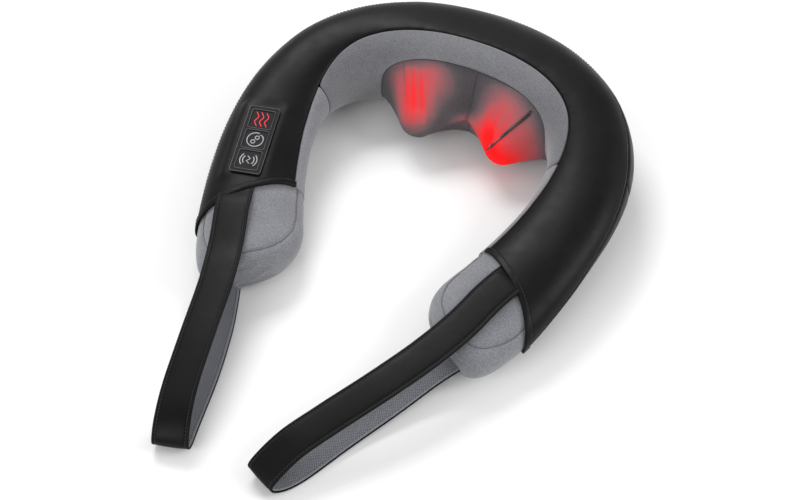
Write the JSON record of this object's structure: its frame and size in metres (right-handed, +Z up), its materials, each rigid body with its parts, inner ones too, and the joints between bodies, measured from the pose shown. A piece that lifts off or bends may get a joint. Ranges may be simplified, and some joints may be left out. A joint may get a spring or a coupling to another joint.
{
  "type": "shiatsu neck massager",
  "caption": "Horseshoe neck and shoulder massager: padded leather collar, rotating heated kneading heads under stretch fabric, a button pad on one arm, and hand loops.",
  "frame": {"origin": "on the flat resting face under the middle of the collar's back", "axes": "+Z up, -Y towards the open end and the hand loops, +X to the side away from the control pad"},
  "size_m": [0.3824, 0.5429, 0.0907],
  "materials": {
    "black_leather": "satin, fine grain",
    "strap_leather": "satin, smooth",
    "grey_fabric": "brushed knit",
    "window_fabric": "thin stretch knit, lit red from inside",
    "mesh_lining": "spacer mesh",
    "foam": "open cell foam",
    "housing_plastic": "fine texture",
    "steel": "turned",
    "motor_steel": "plated can",
    "worm_steel": "cut thread",
    "bronze": "sintered bronze",
    "gear_plastic": "natural acetal",
    "carrier_plastic": "moulded",
    "head_rubber": "translucent silicone, lit red",
    "circuit_board": "solder mask",
    "red_lens": "clear tinted",
    "wire": "insulation",
    "pad_rubber": "moulded",
    "button_rubber": "moulded",
    "switch_plastic": "moulded",
    "socket_plastic": "moulded"
  },
  "bodies": {
    "root": {"leather_cover": "black_leather", "hem_binding_left": "black_leather", "hem_binding_right": "black_leather", "neck_panel": "grey_fabric", "arm_lining_left": "grey_fabric", "arm_lining_right": "grey_fabric", "base_panel_back": "black_leather", "base_panel_left": "black_leather", "base_panel_right": "black_leather", "window_fabric_left": "window_fabric", "window_fabric_right": "window_fabric", "end_pad_left": "grey_fabric", "end_pad_right": "grey_fabric", "foam_back": "foam", "foam_neck": "foam", "foam_arm_left": "foam", "foam_arm_right": "foam", "strap_left": "strap_leather", "strap_right": "strap_leather", "strap_lining_left": "mesh_lining", "strap_lining_right": "mesh_lining", "rear_housing": "housing_plastic", "front_housing": "housing_plastic", "housing_screws": "steel", "drive_motor": "motor_steel", "driver_board": "circuit_board", "worm_shaft_bushes": "bronze", "output_bushes": "bronze", "heat_led_boards": "circuit_board", "heat_leds": "red_lens", "vibration_motor_left": "motor_steel", "vibration_motor_right": "motor_steel", "wiring_harness": "wire", "control_frame": "pad_rubber", "control_board": "circuit_board", "tact_switches": "switch_plastic", "dc_socket": "socket_plastic"},
    "drive_shaft": {"worm_shaft": "steel", "worm_left": "worm_steel", "worm_right": "worm_steel"},
    "node_left": {"worm_wheel_left": "gear_plastic", "output_shaft_left": "steel", "node_carrier_left": "carrier_plastic", "kneading_head_left": "head_rubber", "carrier_screws_left": "steel"},
    "node_right": {"worm_wheel_right": "gear_plastic", "output_shaft_right": "steel", "node_carrier_right": "carrier_plastic", "kneading_head_right": "head_rubber", "carrier_screws_right": "steel"},
    "vibration_left": {"vibration_weight_left": "worm_steel"},
    "vibration_right": {"vibration_weight_right": "worm_steel"},
    "heat_key": {"heat_button": "button_rubber"},
    "shiatsu_key": {"shiatsu_button": "button_rubber"},
    "vibration_key": {"vibration_button": "button_rubber"}
  },
  "joints": [
    {"name": "node_spin_left", "type": "hinge", "parent": "root", "child": "node_left", "pos_m": [-0.0435, 0.004, 0.0368], "axis": [0, -1, 0], "continuous": true, "deforming": ["window_fabric_left"]},
    {"name": "node_spin_right", "type": "hinge", "parent": "root", "child": "node_right", "pos_m": [0.0435, 0.004, 0.0368], "axis": [0, -1, 0], "continuous": true, "deforming": ["window_fabric_right"]},
    {"name": "worm_spin", "type": "hinge", "parent": "root", "child": "drive_shaft", "pos_m": [0, 0.004, 0.0608], "axis": [1, 0, 0], "continuous": true},
    {"name": "vibration_spin_left", "type": "hinge", "parent": "root", "child": "vibration_left", "pos_m": [-0.15, -0.124, 0.0438], "axis": [0, -1, 0], "continuous": true},
    {"name": "vibration_spin_right", "type": "hinge", "parent": "root", "child": "vibration_right", "pos_m": [0.15, -0.124, 0.0438], "axis": [0, -1, 0], "continuous": true},
    {"name": "heat_press", "type": "slide", "parent": "root", "child": "heat_key", "axis": [0.0006, 0.1243, -0.9922], "range_m": [0, 0.0008], "stiffness_N_per_m": 450, "springref_m": -0.001},
    {"name": "shiatsu_press", "type": "slide", "parent": "root", "child": "shiatsu_key", "axis": [0.0006, 0.1243, -0.9922], "range_m": [0, 0.0008], "stiffness_N_per_m": 450, "springref_m": -0.001},
    {"name": "vibration_press", "type": "slide", "parent": "root", "child": "vibration_key", "axis": [0.0006, 0.1243, -0.9922], "range_m": [0, 0.0008], "stiffness_N_per_m": 450, "springref_m": -0.001}
  ],
  "couplings": [
    {"joint": "node_spin_right", "follows": "node_spin_left", "ratio": -1},
    {"joint": "worm_spin", "follows": "node_spin_left", "ratio": 24}
  ]
}
